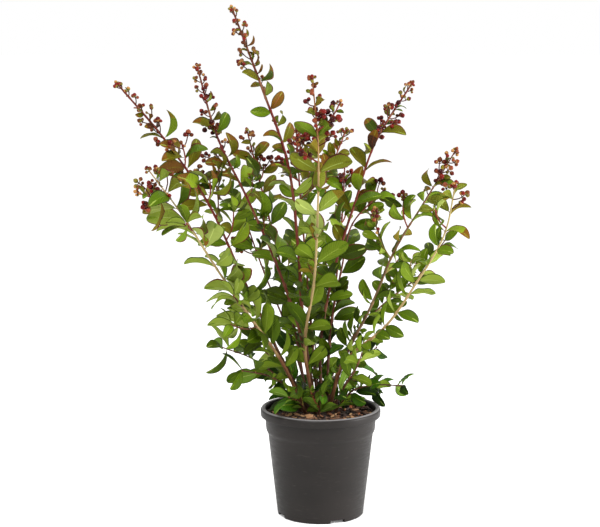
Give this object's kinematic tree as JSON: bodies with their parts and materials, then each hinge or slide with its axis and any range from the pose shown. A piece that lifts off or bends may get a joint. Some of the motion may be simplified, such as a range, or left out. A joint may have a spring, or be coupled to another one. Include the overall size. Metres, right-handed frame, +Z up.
{
  "type": "potted crape myrtle shrub",
  "caption": "Young multi-stemmed crape myrtle in flower bud, with upright leafy stems, standing in a round dark nursery pot filled with bark medium.",
  "frame": {"origin": "centre of the pot's flat underside, on the ground", "axes": "+Z up along the plant, +X to the plant's right as seen from its front, -Y towards its front"},
  "size_m": [0.5473, 0.4865, 0.801],
  "materials": {
    "pot_plastic": "satin",
    "bark_medium": "matte",
    "stem_bark": "matte",
    "foliage": "satin"
  },
  "bodies": {
    "root": {"pot": "pot_plastic", "growing_medium": "bark_medium", "stem_front_left": "stem_bark", "stem_far_left": "stem_bark", "stem_left": "stem_bark", "stem_tall": "stem_bark", "stem_front": "stem_bark", "stem_right": "stem_bark", "stem_far_right": "stem_bark", "stem_low_right": "stem_bark", "stem_inner_right": "stem_bark", "stem_thin_right": "stem_bark", "stem_back": "stem_bark", "stem_back_left": "stem_bark", "stem_back_right": "stem_bark", "stem_rear_left": "stem_bark", "foliage_front_left": "foliage", "foliage_far_left": "foliage", "foliage_left": "foliage", "foliage_tall": "foliage", "foliage_front": "foliage", "foliage_right": "foliage", "foliage_far_right": "foliage", "foliage_low_right": "foliage", "foliage_inner_right": "foliage", "foliage_thin_right": "foliage", "foliage_back": "foliage", "foliage_back_left": "foliage", "foliage_back_right": "foliage", "foliage_rear_left": "foliage", "foliage_basal_left_low": "foliage", "foliage_basal_left": "foliage", "foliage_basal_front_right": "foliage", "foliage_basal_right": "foliage", "foliage_basal_right_low": "foliage", "foliage_basal_front_left": "foliage", "foliage_basal_front": "foliage", "foliage_basal_back_left": "foliage", "foliage_basal_back": "foliage", "foliage_basal_back_right": "foliage"}
  },
  "joints": []
}
